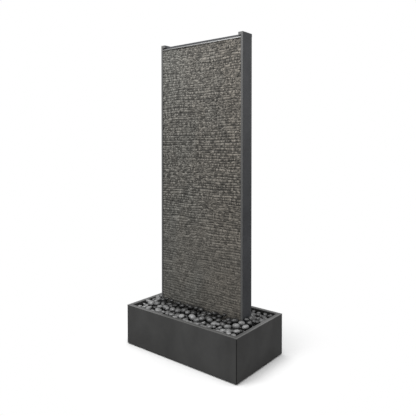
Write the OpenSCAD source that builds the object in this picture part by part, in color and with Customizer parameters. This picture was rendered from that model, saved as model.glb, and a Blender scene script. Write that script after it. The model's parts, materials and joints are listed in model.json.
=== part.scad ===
// Free-standing garden water wall: a tall textured stone slab between two side
// fins stands in a low basin of pebbles. Water rises through a hidden pipe,
// fills a trough at the top, spills over a lip and runs down the stone.
// Millimetres, +Z up, front faces -Y. The origin is on the ground, at the
// middle of the basin.

/* [Overall] */
// Height of the side fins above the ground
total_h = 1823; // [1500:1:2100]

/* [Basin] */
// Width of the basin, left to right
basin_w = 812; // [780:1:1100]
// Depth of the basin, front to back
basin_d = 456; // [430:1:600]
// Height of the basin's rim above the ground
basin_h = 236; // [226:1:300]
// Sheet thickness of the basin
basin_sheet = 3; // [2:0.5:4]
// Width of the flat rim
rim_w = 24; // [18:1:28]
// How far the rim's inner edge is turned down
rim_drop = 18; // [10:1:24]
// Height of the rubber pads under the basin
foot_h = 6; // [5:0.5:10]
// Radius of each rubber pad
foot_r = 25; // [15:1:30]
// Distance of the pads' centres from the basin's sides
foot_inset = 60; // [40:1:70]

/* [Tower] */
// Width of the tower over both fins
tower_w = 612; // [560:1:640]
// Depth of the tower, front to back
tower_d = 90; // [82:1:110]
// How far the tower's front lies ahead of the basin's middle
tower_front = 31; // [20:1:40]
// Width of each fin, seen from the front
fin_w = 30; // [26:1:40]
// Width of the narrow front edge that stays in view beside the slab
fin_lip = 12; // [9:1:14]
// Sheet thickness of the fins
fin_sheet = 3; // [2:0.5:4]
// Height of the closed head on each fin
head_h = 17; // [14:0.5:17]
// Thickness of the rear panel
panel_t = 1.5; // [1:0.1:2]
// Height of each cross rail
rail_h = 50; // [35:1:60]
// Depth of each cross rail
rail_d = 18; // [12:1:18]
// Sheet thickness of the rails, the shelf and the trough brackets
rail_sheet = 3; // [2:0.5:3.5]
// Thickness of the backing board
board_t = 6; // [4:0.5:8]

/* [Stone slab] */
// Thickness of the slab
slab_t = 20; // [18:0.5:24]
// Distance of the slab's top edge below the fins' tops
slab_drop = 28; // [28:0.5:34]
// Height of the slab's bottom edge above the grates' seats
slab_lift = 7; // [4:0.5:12]
// Height of one course of the split-face texture
course_h = 12.5; // [10:0.5:20]
// Depth of the texture, from the proudest ridge to the deepest joint
relief = 3; // [1:0.1:5]
// Number of texture columns across the slab
slab_columns = 12; // [6:1:14]
// Clearance beside the slab
slab_gap = 0.3; // [0.2:0.1:1]

/* [Spillway] */
// Sheet thickness of the trough
trough_sheet = 2; // [1.5:0.1:2.5]
// Height of the trough
trough_h = 78; // [70:1:90]
// Height of the weir above the slab's top edge
weir_rise = 10.5; // [8:0.5:10.5]
// Gap that the water leaves through, between the weir and the cover
slot_h = 4.5; // [3:0.5:5]
// How far the cover's front edge lies behind the slab's front
hood_back = 14; // [10:0.5:15]
// Gap below the cover's front edge
hood_gap = 3.5; // [2.5:0.5:5]
// Thickness of the lift-off cover
cover_t = 2; // [1.5:0.1:2.5]
// Sheet thickness of the spill lip
lip_sheet = 1.5; // [1:0.1:1.6]
// How far the spill lip's nose hangs over the slab's front edge
nose_drop = 3.5; // [3:0.5:8]
// How far the trough's brackets reach under it
bracket_lap = 12; // [8:1:16]
// Height of the brackets' rear legs
bracket_leg = 30; // [20:1:36]

/* [Grates and pebbles] */
// Depth of the pebble bed below the rim
bed_depth = 38; // [34:1:44]
// Height of the grate bars
bar_h = 15; // [10:1:20]
// Thickness of the grate bars
bar_t = 3; // [2:0.5:4]
// Spacing of the grate bars
bar_pitch = 17; // [14:0.5:18]
// Clearance between the grates and the tower
tower_gap = 5; // [4:0.5:8]
// Clearance between the grates and the basin's rim
grate_gap = 2; // [1:0.5:4]
// Width of the ledges that carry the grates
ledge_w = 40; // [36:1:50]
// Height of the ledges and of the stand's collar
ledge_drop = 25; // [18:1:28]
// Sheet thickness of the ledges and the collar
ledge_sheet = 3; // [2:0.5:4]
// Radius of the largest pebble
pebble_r = 15.9; // [14:0.1:17]
// Radius of the smallest pebble
pebble_r_min = 13.2; // [12:0.1:13.8]
// Height of the largest pebble
pebble_h = 30; // [24:0.5:32]
// Height of the smallest pebble
pebble_h_min = 22; // [18:0.5:24]
// Width of the band beside the tower where a second layer is heaped
heap_w = 30; // [0:1:80]

/* [Stand] */
// Side of the square tube of the stand's legs
leg_w = 22; // [16:1:25]
// Wall of the stand's legs
leg_wall = 2; // [1.5:0.5:3]
// Thickness of the stand's foot rails
foot_rail_t = 5; // [4:0.5:8]
// How far the foot rails run past the legs
foot_rail_stub = 30; // [10:1:50]
// Thickness of the cleats that the fins are bolted to
cleat_t = 5; // [4:0.5:5]
// Height of the cleats
cleat_h = 120; // [100:1:125]
// Width of the cleats
cleat_w = 50; // [40:1:50]
// Radius of the tower bolts
bolt_r = 5; // [4:0.5:6]

/* [Water supply] */
// Place of the riser pipe, to the right of the middle
riser_x = 75; // [60:1:110]
// Outer radius of the riser pipe
riser_r = 11; // [9:0.5:12]
// Wall of the riser pipe
riser_wall = 1.5; // [1:0.1:2.5]
// Outer radius of the spray bar
spray_r = 10; // [8:0.5:11]
// Wall of the spray bar
spray_wall = 1.5; // [1:0.1:2.5]
// Half length of the spray bar
spray_half = 235; // [200:1:245]
// Radius of the spray holes
spray_hole_r = 1.5; // [1:0.1:2.5]
// Wall of the flexible hose
hose_wall = 3.4; // [2.5:0.1:4]
// Clearance between the hose and the stand's collar
hose_gap = 13; // [8:0.5:16]
// Outer radius of the two hose barbs
barb_r = 9.5; // [8:0.1:10]
// Wall of the pipe fittings
fitting_wall = 3; // [2:0.5:3.5]
// Clearance of a sleeve over its pipe
sleeve_gap = 0.05; // [0.02:0.01:0.1]
// Width of the riser clips' plates
clip_w = 30; // [28:1:40]
// Thickness of the riser clips' plates
clip_t = 2; // [1.5:0.5:3]
// Height of the riser clips' rings
clip_ring_h = 12; // [8:1:20]
// Width of the feet of the spray bar's cradles
cradle_foot = 10; // [8:1:16]
// Thickness of the cradles
cradle_t = 4; // [3:0.5:6]

/* [Pump] */
// Distance of the pump's middle from the basin's rear
pump_in = 78; // [68:1:84]
// Width of the pump
pump_w = 60; // [54:1:66]
// Height of the pump
pump_h = 58; // [54:1:60]
// Length of the motor housing
motor_l = 76; // [70:1:90]
// Length of the impeller chamber
chamber_l = 26; // [26:1:32]
// Length of the pump's outlet barb
barb_l = 17; // [14:0.5:19]
// Length of the strainer cage
cage_l = 28; // [22:1:34]
// Wall of the strainer cage
cage_wall = 2.5; // [2:0.1:3]
// Height of the suction feet
sucker_h = 8; // [6:0.5:10]
// Radius of the impeller
impeller_r = 18; // [15:0.5:20]
// Number of impeller blades
blades = 6; // [4:1:8]
// Radius of the ceramic shaft
shaft_r = 2; // [1.5:0.1:2.5]
// Radius of the rotor magnet
magnet_r = 11.6; // [9:0.1:12]
// Running clearance of the rotor on its shaft
run_gap = 0.05; // [0.02:0.01:0.1]
// Clearance between the rotor and its housing
rotor_gap = 0.5; // [0.3:0.1:1]
// Radius of the flow dial
dial_r = 11; // [8:0.5:14]

/* [Drain and cable outlet] */
// Distance of the drain from the basin's left side
drain_in_x = 156; // [148:1:166]
// Distance of the drain from the basin's rear
drain_in_y = 50; // [46:1:58]
// Radius of the drain's bore
drain_r = 14; // [10:0.5:16]
// Distance of the cable outlet to the left of the middle
outlet_x = 180; // [150:1:200]
// Radius of the cable outlet's bore
outlet_r = 4.2; // [3:0.1:6]
// Distance of the cable outlet below the grates
outlet_drop = 47; // [45:1:58]

/* [Hidden] */
$fn = 40;
eps = 0.01;
seat = 0.3;

// Basin
half_w = basin_w / 2;
half_d = basin_d / 2;
wall_x = half_w - basin_sheet;
wall_y = half_d - basin_sheet;
rim_x = half_w - rim_w;
rim_y = half_d - rim_w;
floor_z = foot_h + basin_sheet;
seam = 0.7 * basin_sheet;

// Tower
fin_x = tower_w / 2;
front_y = -tower_front;
back_y = front_y + tower_d;
fin_back_y = back_y - panel_t;
slab_back_y = front_y + slab_t;
board_back_y = slab_back_y + board_t;
rail_back_y = board_back_y + rail_d;
web_x = fin_x - fin_sheet;
ledge_x = fin_x - fin_w;
recess_x = fin_x - fin_lip;
inner_x = ledge_x - 0.5;
head_z = total_h - head_h;
slab_top = total_h - slab_drop;

// Grates
grate_top = basin_h - bed_depth;
grate_z = grate_top - bar_h;
grate_x = rim_x - grate_gap;
grate_y = rim_y - grate_gap;
hole_x = fin_x + tower_gap;
hole_front = front_y - tower_gap;
hole_back = back_y + tower_gap;
panel_joint = 1;

// Stand
collar_w = leg_w + ledge_sheet;
leg_x = hole_x + ledge_sheet / 2;
foot_rail_x = ledge_x;
foot_rail_w = leg_x + leg_w - ledge_x;
foot_rail_y0 = hole_front - collar_w - foot_rail_stub;
foot_rail_y1 = hole_back + collar_w + foot_rail_stub;
fin_z = floor_z + foot_rail_t;
cleat_y = 0;
bolt_z = [fin_z + 0.3 * cleat_h, fin_z + 0.8 * cleat_h];
bolt_y = cleat_y + cleat_w / 2;
bolt_gap = 0.3;
nut_af = bolt_r * 1.9;
nut_h = bolt_r * 1.6;
head_t = bolt_r * 1.2;

// Slab and its shelf
slab_z = grate_z + slab_lift;
slab_h = slab_top - slab_z;
slab_x = recess_x - slab_gap;
courses = floor(slab_h / course_h);
course = slab_h / courses;
shelf_h = 40;
shelf_screw_r = 2;
shelf_screw_x = (ledge_x + recess_x) / 2;

// Spillway
weir_z = slab_top + weir_rise;
cover_z = weir_z + slot_h;
hood_y = front_y + hood_back;
hood_z = slab_top + lip_sheet + hood_gap;
trough_z = cover_z - trough_h;
trough_back_y = fin_back_y - fin_sheet - 2.5;
cover_lip = 18;

// Cross rails, from the bottom up
rail_z0 = slab_z - 40;
rail_z3 = trough_z - rail_h;
rail_step = (rail_z3 - rail_z0) / 3;
rail_z = [rail_z0, rail_z0 + rail_step, rail_z0 + 2 * rail_step, rail_z3];
bracket_in = 36;

// Rear panel
panel_x = fin_x - 1;
panel_z0 = grate_top + 7;
panel_z1 = head_z - 1;
screw_r = 2.4;
screw_hole_r = 2.6;
screw_head_r = 4.8;
screw_head_h = 2.4;
screw_x = fin_x - fin_w / 2;
screws_up = 5;
panel_edge = 40;

// Pump and water supply
pump_y = half_d - pump_in;
pump_z0 = floor_z + sucker_h;
pump_z = pump_z0 + pump_h / 2;
pump_top = pump_z0 + pump_h;
chamber_x = riser_x - barb_r - 2.5;
motor_x = chamber_x + chamber_l;
cage_x = chamber_x - cage_l;
barb_z = pump_top + barb_l;
hose_in = barb_r + sleeve_gap;
hose_out = hose_in + hose_wall;
elbow_z = grate_z - ledge_drop - hose_gap - hose_out;
hose_bend = elbow_z - barb_z;
supply_y = trough_back_y - trough_sheet - riser_r - 6;
riser_z0 = elbow_z + 18;
socket_r = riser_r + fitting_wall;
riser_z1 = trough_z - 13;
connector_z0 = riser_z1 - 20;
elbow_barb_y = supply_y + socket_r + 28;
hose_start_y = supply_y + socket_r + 3;
spray_z = trough_z + 30;
stub_r = 9;
stub_z1 = trough_z + 16;
chamber_r = impeller_r + 4;
chamber_wall = 4;
eye_r = 11;
magnet_x0 = motor_x - 2;
magnet_x1 = motor_x + 54;
bush_r = shaft_r + 2;
bush_l = 4;
gland_l = 14;
gland_r = 7;
gland_bore = 3.5;
sucker_r = 8;

// Drain and cable outlet
drain_x = half_w - drain_in_x;
drain_y = half_d - drain_in_y;
outlet_z = grate_z - outlet_drop;
drain_wall = 3;
drain_out = drain_r + drain_wall;
gasket_t = 1;
flange_r = drain_out + 7;
flange_t = 2.5;
drain_low = 2;
nut_low = 1.8;
drain_top = floor_z + gasket_t + flange_t;
grommet_neck = outlet_r + 4.6;
grommet_flange = outlet_r + 9.6;
grommet_lip = 2.5;

// A box given by its low and high corners
module span(low, high) {
    translate(low) cube(high - low);
}

// A flat shape in the YZ plane, pulled along X from x0 to x1
module along_x(x0, x1) {
    translate([x0, 0, 0]) rotate([90, 0, 90]) linear_extrude(x1 - x0) children();
}

// A round bar along X, and one along Y
module rod_x(x0, x1, y, z, r) {
    translate([x0, y, z]) rotate([0, 90, 0]) cylinder(r = r, h = x1 - x0);
}

module rod_y(x, y0, y1, z, r) {
    translate([x, y0, z]) rotate([-90, 0, 0]) cylinder(r = r, h = y1 - y0);
}

// A rectangle with round corners, centred
module round_rect(w, h, r) {
    square([w - 2 * r, h], center = true);
    square([w, h - 2 * r], center = true);
    for (x = [-1, 1], y = [-1, 1]) {
        translate([x * (w / 2 - r), y * (h / 2 - r)]) circle(r);
    }
}

// Basin: a folded box with a flat rim, open at the top, and an open seam down each corner
module basin_shell() {
    color("dimgray") difference() {
        span([-half_w, -half_d, foot_h], [half_w, half_d, basin_h]);
        span([-wall_x, -wall_y, floor_z], [wall_x, wall_y, basin_h - basin_sheet]);
        span([-rim_x, -rim_y, floor_z], [rim_x, rim_y, basin_h + 1]);
        translate([-drain_x, drain_y, foot_h - 1]) cylinder(r = drain_out + seat, h = basin_sheet + 2);
        rod_y(-outlet_x, wall_y - 1, half_d + 1, outlet_z, grommet_neck + 0.2);
        for (x = [-half_w, half_w], y = [-half_d, half_d]) {
            span([x - seam, y - seam, foot_h - 1], [x + seam, y + seam, basin_h - basin_sheet]);
        }
    }
    color("dimgray") rim_return();
}

// The rim's turned-down inner edge, which stiffens it
module rim_return() {
    difference() {
        span([-rim_x - basin_sheet, -rim_y - basin_sheet, basin_h - rim_drop],
             [rim_x + basin_sheet, rim_y + basin_sheet, basin_h - eps]);
        span([-rim_x, -rim_y, basin_h - rim_drop - 1], [rim_x, rim_y, basin_h + 1]);
    }
}

module foot_pads() {
    color("black") for (x = [-1, 0, 1], y = [-1, 1]) {
        translate([x * (half_w - foot_inset), y * (half_d - foot_inset), 0]) difference() {
            cylinder(r = foot_r, h = foot_h);
            translate([0, 0, -1]) cylinder(r = foot_r / 3, h = 3);
        }
    }
}

// Drain in the basin's floor
module drain_fitting() {
    color("goldenrod") translate([-drain_x, drain_y, 0]) difference() {
        union() {
            translate([0, 0, drain_low]) cylinder(r = drain_out, h = drain_top - drain_low);
            translate([0, 0, floor_z + gasket_t]) cylinder(r = flange_r, h = flange_t);
        }
        translate([0, 0, drain_low - 1]) cylinder(r = drain_r, h = drain_top);
    }
}

module drain_gasket() {
    color("black") translate([-drain_x, drain_y, floor_z]) difference() {
        cylinder(r = flange_r - 0.5, h = gasket_t);
        translate([0, 0, -1]) cylinder(r = drain_out + 0.1, h = gasket_t + 2);
    }
}

module drain_nut() {
    color("goldenrod") translate([-drain_x, drain_y, nut_low]) difference() {
        cylinder(r = drain_out + 6, h = foot_h - nut_low, $fn = 6);
        translate([0, 0, -1]) cylinder(r = drain_out + sleeve_gap, h = foot_h, $fn = 40);
    }
}

// Rubber stopper with a pull ring
module drain_stopper() {
    ring_r = 8;
    wire_r = 1.3;
    head_h = 5;
    color("black") translate([-drain_x, drain_y, 0]) {
        translate([0, 0, drain_low + 2])
            cylinder(r1 = drain_r - 1.2, r2 = drain_r - seat, h = drain_top - drain_low - 2);
        translate([0, 0, drain_top]) cylinder(r = drain_r + 4, h = head_h);
        translate([0, 0, drain_top + head_h + ring_r - wire_r]) rotate([90, 0, 0])
            rotate_extrude() translate([ring_r, 0]) circle(r = wire_r);
    }
}

// Rubber grommet for the pump's lead, in the rear wall
module cable_grommet() {
    color("black") translate([-outlet_x, wall_y, outlet_z]) rotate([-90, 0, 0]) difference() {
        union() {
            translate([0, 0, -grommet_lip]) cylinder(r = grommet_flange, h = grommet_lip);
            cylinder(r = grommet_neck, h = basin_sheet);
            translate([0, 0, basin_sheet]) cylinder(r = grommet_flange, h = grommet_lip);
        }
        translate([0, 0, -grommet_lip - 1]) cylinder(r = outlet_r, h = basin_sheet + 2 * grommet_lip + 2);
    }
}

// An angle ledge along X: a flat leg on top and a leg down the wall at y = 0
module ledge(length) {
    translate([-length / 2, -ledge_w, grate_z - ledge_sheet]) cube([length, ledge_w, ledge_sheet]);
    translate([-length / 2, -ledge_sheet, grate_z - ledge_drop]) cube([length, ledge_sheet, ledge_drop]);
}

module grate_ledges() {
    color("darkgray") {
        translate([0, wall_y, 0]) ledge(2 * wall_x);
        translate([0, -wall_y, 0]) rotate([0, 0, 180]) ledge(2 * wall_x);
        translate([wall_x, 0, 0]) rotate([0, 0, -90]) ledge(2 * (wall_y - ledge_w) - 1);
        translate([-wall_x, 0, 0]) rotate([0, 0, 90]) ledge(2 * (wall_y - ledge_w) - 1);
    }
}

// Stand that holds the tower upright and carries the grates' inner edges
module stand_frame() {
    color("darkgray") {
        difference() {
            span([-hole_x - collar_w, hole_front - collar_w, grate_z - ledge_sheet],
                 [hole_x + collar_w, hole_back + collar_w, grate_z]);
            span([-hole_x, hole_front, grate_z - ledge_sheet - 1], [hole_x, hole_back, grate_z + 1]);
        }
        difference() {
            span([-hole_x - ledge_sheet, hole_front - ledge_sheet, grate_z - ledge_drop],
                 [hole_x + ledge_sheet, hole_back + ledge_sheet, grate_z]);
            span([-hole_x, hole_front, grate_z - ledge_drop - 1], [hole_x, hole_back, grate_z + 1]);
        }
        for (side = [0, 1]) mirror([side, 0, 0]) {
            stand_side();
        }
    }
}

// One end of the stand: foot rail, two legs and a cleat
module stand_side() {
    span([foot_rail_x, foot_rail_y0, floor_z], [foot_rail_x + foot_rail_w, foot_rail_y1, fin_z]);
    stand_leg(hole_front - ledge_sheet / 2 - leg_w);
    stand_leg(hole_back + ledge_sheet / 2);
    difference() {
        span([web_x - cleat_t, cleat_y, fin_z - 1], [web_x, cleat_y + cleat_w, fin_z + cleat_h]);
        for (z = bolt_z) {
            rod_x(web_x - cleat_t - 1, web_x + 1, bolt_y, z, bolt_r + bolt_gap);
        }
    }
}

// Square tube leg with a drain hole near its foot
module stand_leg(y) {
    difference() {
        span([leg_x, y, fin_z - 1], [leg_x + leg_w, y + leg_w, grate_z - 1]);
        span([leg_x + leg_wall, y + leg_wall, fin_z],
             [leg_x + leg_w - leg_wall, y + leg_w - leg_wall, grate_z - ledge_sheet]);
        rod_x(leg_x + leg_w / 2, leg_x + leg_w + 1, y + leg_w / 2, fin_z + 12, 4);
    }
}

// Bolts through the fins into the stand's cleats
module tower_bolts() {
    color("silver") for (side = [0, 1]) mirror([side, 0, 0]) {
        for (z = bolt_z) {
            rod_x(web_x - cleat_t - nut_h - 3, fin_x + eps, bolt_y, z, bolt_r);
            translate([fin_x, bolt_y, z]) rotate([0, 90, 0]) cylinder(r = nut_af, h = head_t, $fn = 6);
        }
    }
}

module tower_nuts() {
    color("silver") for (side = [0, 1]) mirror([side, 0, 0]) {
        for (z = bolt_z) {
            translate([web_x - cleat_t - nut_h, bolt_y, z]) rotate([0, 90, 0]) difference() {
                cylinder(r = nut_af, h = nut_h, $fn = 6);
                translate([0, 0, -1]) cylinder(r = bolt_r + sleeve_gap, h = nut_h + 2, $fn = 40);
            }
        }
    }
}

// A bar grate, from its low corner to its high corner
module grate(x0, x1, y0, y1) {
    w = x1 - x0;
    d = y1 - y0;
    bays_x = ceil((w - bar_t) / bar_pitch);
    bays_y = max(1, round((d - bar_t) / 70));
    step_x = (w - bar_t) / bays_x;
    step_y = (d - bar_t) / bays_y;
    color("darkgray") translate([x0, y0, grate_z]) linear_extrude(bar_h) difference() {
        square([w, d]);
        for (i = [0 : bays_x - 1], j = [0 : bays_y - 1]) {
            translate([i * step_x + bar_t, j * step_y + bar_t]) square([step_x - bar_t, step_y - bar_t]);
        }
    }
}

module front_grate() {
    grate(-grate_x, grate_x, -grate_y, hole_front);
}

module back_grate() {
    grate(-grate_x, grate_x, hole_back, grate_y);
}

module right_grate() {
    grate(hole_x, grate_x, hole_front + panel_joint, hole_back - panel_joint);
}

module left_grate() {
    grate(-grate_x, -hole_x, hole_front + panel_joint, hole_back - panel_joint);
}

// One river pebble: a flattened round stone with fully rounded edges
module pebble(r, h) {
    edge = h / 2;
    rotate_extrude($fn = 24) intersection() {
        union() {
            translate([r - edge, edge]) circle(r = edge);
            square([r - edge, h]);
        }
        square([r, h]);
    }
}

// A bed of pebbles in rows; in a wide bed every second row is shifted. Stones that are near the
// line y = heap_y carry a second, flatter stone.
module pebble_bed(x0, x1, y0, y1, seed, heap_y) {
    slack = 0.5;
    pitch = 2 * (pebble_r + slack + seat);
    room_x = x1 - x0 - pitch;
    room_y = y1 - y0 - pitch;
    shift = room_x > 3 * pitch ? 0.5 : 0;
    rows = max(1, round(room_y / pitch)) + 1;
    cols = max(1, round(room_x / pitch - shift)) + 1;
    step_x = room_x / (cols - 1 + shift);
    step_y = room_y / (rows - 1);
    n = rows * cols;
    dx = rands(-slack, slack, n, seed);
    dy = rands(-slack, slack, n, seed + 1);
    rr = rands(pebble_r_min, pebble_r, n, seed + 2);
    hh = rands(pebble_h_min, pebble_h, n, seed + 3);
    color("darkslategray") for (j = [0 : rows - 1]) {
        for (i = [0 : cols - 1]) {
            k = j * cols + i;
            x = x0 + pitch / 2 + (i + (j % 2) * shift) * step_x + dx[k];
            y = y0 + pitch / 2 + j * step_y + dy[k];
            r = min(rr[k], step_x / 2 - slack - seat, step_y / 2 - slack - seat);
            h = min(hh[k], 2 * r - 1);
            translate([x, y, grate_top]) pebble(r, h);
            if (abs(y - heap_y) < heap_w) {
                translate([x, y, grate_top + h + seat]) pebble(r, 0.8 * pebble_h_min);
            }
        }
    }
}

module front_pebbles() {
    pebble_bed(-grate_x, grate_x, -grate_y, front_y - 2.5, 11, front_y);
}

module back_pebbles() {
    pebble_bed(-grate_x, grate_x, hole_back, grate_y, 23, -basin_d);
}

module right_pebbles() {
    pebble_bed(hole_x, grate_x, front_y - 2.5, hole_back, 37, -basin_d);
}

module left_pebbles() {
    pebble_bed(-grate_x, -hole_x, front_y - 2.5, hole_back, 41, -basin_d);
}

// Right-hand fin: a folded channel, rebated at the front for the slab, with a closed head
module fin() {
    difference() {
        translate([0, 0, fin_z]) linear_extrude(total_h - fin_sheet / 2 - fin_z) polygon([
            [fin_x, front_y], [fin_x, fin_back_y], [ledge_x, fin_back_y],
            [ledge_x, fin_back_y - fin_sheet], [web_x, fin_back_y - fin_sheet],
            [web_x, front_y + fin_sheet], [recess_x + fin_sheet, front_y + fin_sheet],
            [recess_x + fin_sheet, slab_back_y + fin_sheet], [ledge_x, slab_back_y + fin_sheet],
            [ledge_x, slab_back_y], [recess_x, slab_back_y], [recess_x, front_y]
        ]);
        for (z = bolt_z) {
            rod_x(web_x - 1, fin_x + 1, bolt_y, z, bolt_r + bolt_gap);
        }
        for (i = [0 : screws_up - 1]) {
            rod_y(screw_x, fin_back_y - fin_sheet - 1, fin_back_y + 1, panel_screw_z(i), screw_hole_r);
        }
        for (z = shelf_screw_z()) {
            rod_y(shelf_screw_x, slab_back_y - 1, slab_back_y + fin_sheet + 1, z, shelf_screw_r + 0.2);
        }
    }
    difference() {
        span([ledge_x, front_y, head_z], [fin_x, back_y, total_h]);
        span([ledge_x + fin_sheet, front_y + fin_sheet, head_z - 1],
             [fin_x - fin_sheet, back_y - fin_sheet, total_h - fin_sheet]);
    }
}

module right_fin() {
    color("slategray") fin();
}

module left_fin() {
    color("slategray") mirror([1, 0, 0]) fin();
}

// A cross rail: a channel that is open at the back, between the fins' webs
module rail(z) {
    color("darkgray") along_x(-web_x, web_x) polygon([
        [board_back_y, z], [rail_back_y, z], [rail_back_y, z + rail_sheet],
        [board_back_y + rail_sheet, z + rail_sheet],
        [board_back_y + rail_sheet, z + rail_h - rail_sheet],
        [rail_back_y, z + rail_h - rail_sheet], [rail_back_y, z + rail_h], [board_back_y, z + rail_h]
    ]);
}

module bottom_rail() {
    rail(rail_z[0]);
}

module lower_rail() {
    rail(rail_z[1]);
}

module upper_rail() {
    rail(rail_z[2]);
}

module top_rail() {
    rail(rail_z[3]);
}

function shelf_screw_z() = [slab_z - 0.7 * shelf_h, slab_z - 0.35 * shelf_h];

// Angle shelf that carries the slab's bottom edge
module slab_shelf() {
    color("darkgray") difference() {
        along_x(-slab_x, slab_x) polygon([
            [slab_back_y, slab_z], [front_y + 1, slab_z], [front_y + 1, slab_z - rail_sheet],
            [slab_back_y - rail_sheet, slab_z - rail_sheet],
            [slab_back_y - rail_sheet, slab_z - shelf_h], [slab_back_y, slab_z - shelf_h]
        ]);
        for (x = [-1, 1], z = shelf_screw_z()) {
            rod_y(x * shelf_screw_x, slab_back_y - rail_sheet - 1, slab_back_y + 1, z, shelf_screw_r + 0.2);
        }
    }
}

module shelf_screws() {
    shelf_y = slab_back_y - rail_sheet;
    color("silver") for (x = [-1, 1], z = shelf_screw_z()) {
        rod_y(x * shelf_screw_x, shelf_y - eps, slab_back_y + fin_sheet + 3, z, shelf_screw_r);
        rod_y(x * shelf_screw_x, shelf_y - 2, shelf_y, z, shelf_screw_r * 1.8);
    }
}

// Stone slab. Its face is split into level courses: each has a deep joint below
// and a proud ridge above it, and both wander a little from column to column.
module stone_slab() {
    cols = slab_columns;
    rows = 2 * courses;
    n = (rows + 1) * (cols + 1);
    out = rands(0, 1, n, 5);
    lift = rands(-0.18, 0.18, n, 6);
    function at(i, j) = j * (cols + 1) + i;
    function depth(i, j) = j % 2 == 0 ? relief * (0.65 + 0.35 * out[at(i, j)]) : relief * 0.5 * out[at(i, j)];
    function height(i, j) =
        j == 0 ? 0 : j == rows ? slab_h : (floor(j / 2) + (j % 2) * 0.4 + lift[at(i, j)]) * course;
    face_points = [
        for (j = [0 : rows], i = [0 : cols])
            [-slab_x + 2 * slab_x * i / cols, front_y + depth(i, j), slab_z + height(i, j)]
    ];
    back_points = [
        for (k = [0 : courses], side = [-1, 1]) [side * slab_x, slab_back_y, slab_z + k * course]
    ];
    function left(k) = n + 2 * k;
    function right(k) = n + 2 * k + 1;
    mid = floor(cols / 2);
    face_a = [for (j = [0 : rows - 1], i = [0 : cols - 1]) [at(i, j), at(i, j + 1), at(i + 1, j + 1)]];
    face_b = [for (j = [0 : rows - 1], i = [0 : cols - 1]) [at(i, j), at(i + 1, j + 1), at(i + 1, j)]];
    back = [for (k = [0 : courses - 1]) [left(k), right(k), right(k + 1), left(k + 1)]];
    left_side = [
        for (k = [0 : courses - 1], part = [0 : 2])
            part == 0 ? [left(k), at(0, 2 * k + 1), at(0, 2 * k)] :
            part == 1 ? [left(k), left(k + 1), at(0, 2 * k + 1)] :
            [left(k + 1), at(0, 2 * k + 2), at(0, 2 * k + 1)]
    ];
    right_side = [
        for (k = [0 : courses - 1], part = [0 : 2])
            part == 0 ? [right(k), at(cols, 2 * k), at(cols, 2 * k + 1)] :
            part == 1 ? [right(k), at(cols, 2 * k + 1), right(k + 1)] :
            [right(k + 1), at(cols, 2 * k + 1), at(cols, 2 * k + 2)]
    ];
    bottom = concat(
        [for (i = [0 : cols - 1]) [at(i, 0), at(i + 1, 0), i < mid ? left(0) : right(0)]],
        [[at(mid, 0), right(0), left(0)]]
    );
    top = concat(
        [for (i = [0 : cols - 1]) [at(i + 1, rows), at(i, rows), i < mid ? left(courses) : right(courses)]],
        [[at(mid, rows), left(courses), right(courses)]]
    );
    color("gray") polyhedron(
        points = concat(face_points, back_points),
        faces = concat(face_a, face_b, back, bottom, top, left_side, right_side)
    );
}

module backing_board() {
    color("gainsboro") span([-inner_x, slab_back_y, rail_z[0] + 5], [inner_x, board_back_y, trough_z - 2]);
}

function panel_screw_z(i) =
    panel_z0 + panel_edge + i * (panel_z1 - panel_z0 - 2 * panel_edge) / (screws_up - 1);

// Removable rear panel
module rear_panel() {
    color("slategray") difference() {
        span([-panel_x, fin_back_y, panel_z0], [panel_x, back_y, panel_z1]);
        for (x = [-1, 1], i = [0 : screws_up - 1]) {
            rod_y(x * screw_x, fin_back_y - 1, back_y + 1, panel_screw_z(i), screw_hole_r);
        }
    }
}

module panel_screws() {
    color("silver") for (x = [-1, 1], i = [0 : screws_up - 1]) {
        rod_y(x * screw_x, fin_back_y - fin_sheet - 5, back_y + eps, panel_screw_z(i), screw_r);
        difference() {
            rod_y(x * screw_x, back_y, back_y + screw_head_h, panel_screw_z(i), screw_head_r);
            translate([x * screw_x, back_y + 1, panel_screw_z(i)]) rotate([-90, 0, 0])
                cylinder(r = 1.7, h = screw_head_h, $fn = 6);
        }
    }
}

// Header trough: a folded tray whose front wall is the weir
module header_trough() {
    color("lightsteelblue") difference() {
        span([-inner_x, slab_back_y, trough_z], [inner_x, trough_back_y, cover_z]);
        span([-inner_x + trough_sheet, slab_back_y + trough_sheet, trough_z + trough_sheet],
             [inner_x - trough_sheet, trough_back_y - trough_sheet, cover_z + 1]);
        span([-inner_x + trough_sheet, slab_back_y - 1, weir_z],
             [inner_x - trough_sheet, slab_back_y + trough_sheet + 1, cover_z + 1]);
        translate([riser_x, supply_y, trough_z - 1]) cylinder(r = stub_r + 1.2, h = trough_sheet + 2);
    }
}

// Angle brackets on the fins' rear flanges, which carry the trough's back
module trough_brackets() {
    y1 = fin_back_y - fin_sheet;
    color("darkgray") for (side = [0, 1]) mirror([side, 0, 0]) {
        span([inner_x - bracket_in, trough_back_y - bracket_lap, trough_z - rail_sheet],
             [web_x - 1, y1, trough_z]);
        span([ledge_x + 1, y1 - rail_sheet, trough_z - bracket_leg], [web_x - 1, y1, trough_z - eps]);
    }
}

// Lift-off cover: its front edge is turned down ahead of the weir, its rear edge behind the trough
module trough_cover() {
    edge_x = inner_x - 0.3;
    rear = fin_back_y - 0.3;
    top = cover_z + cover_t;
    color("slategray") along_x(-edge_x, edge_x) polygon([
        [hood_y, hood_z], [hood_y, top], [rear, top], [rear, cover_z - cover_lip],
        [rear - cover_t, cover_z - cover_lip], [rear - cover_t, cover_z],
        [hood_y + cover_t, cover_z], [hood_y + cover_t, hood_z]
    ]);
}

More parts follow.
